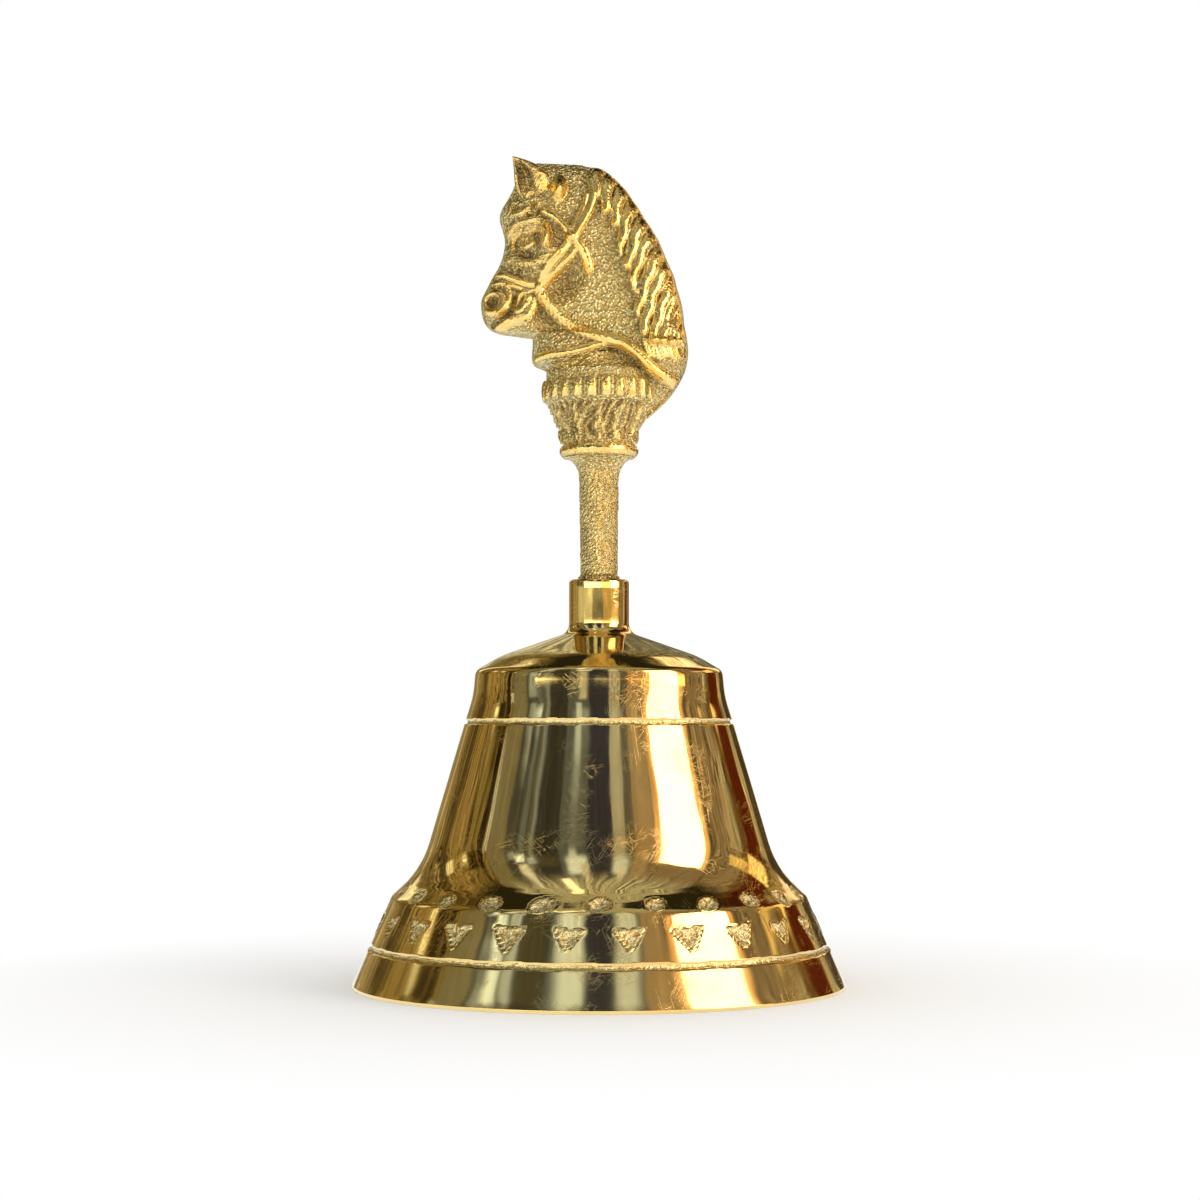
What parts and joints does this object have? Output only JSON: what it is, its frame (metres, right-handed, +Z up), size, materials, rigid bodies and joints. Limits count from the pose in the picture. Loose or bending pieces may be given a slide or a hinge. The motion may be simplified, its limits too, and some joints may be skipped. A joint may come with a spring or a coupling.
{
  "type": "table bell",
  "caption": "Brass hand bell for a table, with a flared cup, a horse's head handle on a fluted capital and a hanging ball clapper.",
  "frame": {"origin": "centre of the lip plane, where the bell stands", "axes": "+Z up along the bell's axis, -X the way the horse looks"},
  "size_m": [0.075, 0.075, 0.1272],
  "materials": {
    "turned_brass": "polished",
    "cast_brass": "as cast, highlights polished",
    "steel": "plated",
    "ball_brass": "turned"
  },
  "bodies": {
    "bell": {"bell_shell": "turned_brass", "handle": "cast_brass", "eye_bolt": "steel", "crown_washer": "steel", "lock_nut": "steel"},
    "link": {"clapper_link": "steel"},
    "clapper": {"clapper_rod": "steel", "clapper_ball": "ball_brass"}
  },
  "joints": [
    {"name": "link_swing", "type": "hinge", "parent": "bell", "child": "link", "pos_m": [0, 0, 0.038], "axis": [0, 1, 0], "range_deg": [-37.5, 37.5]},
    {"name": "clapper_sway", "type": "hinge", "parent": "link", "child": "clapper", "pos_m": [0, 0, 0.03198], "axis": [1, 0, 0], "range_deg": [-14, 14]}
  ]
}
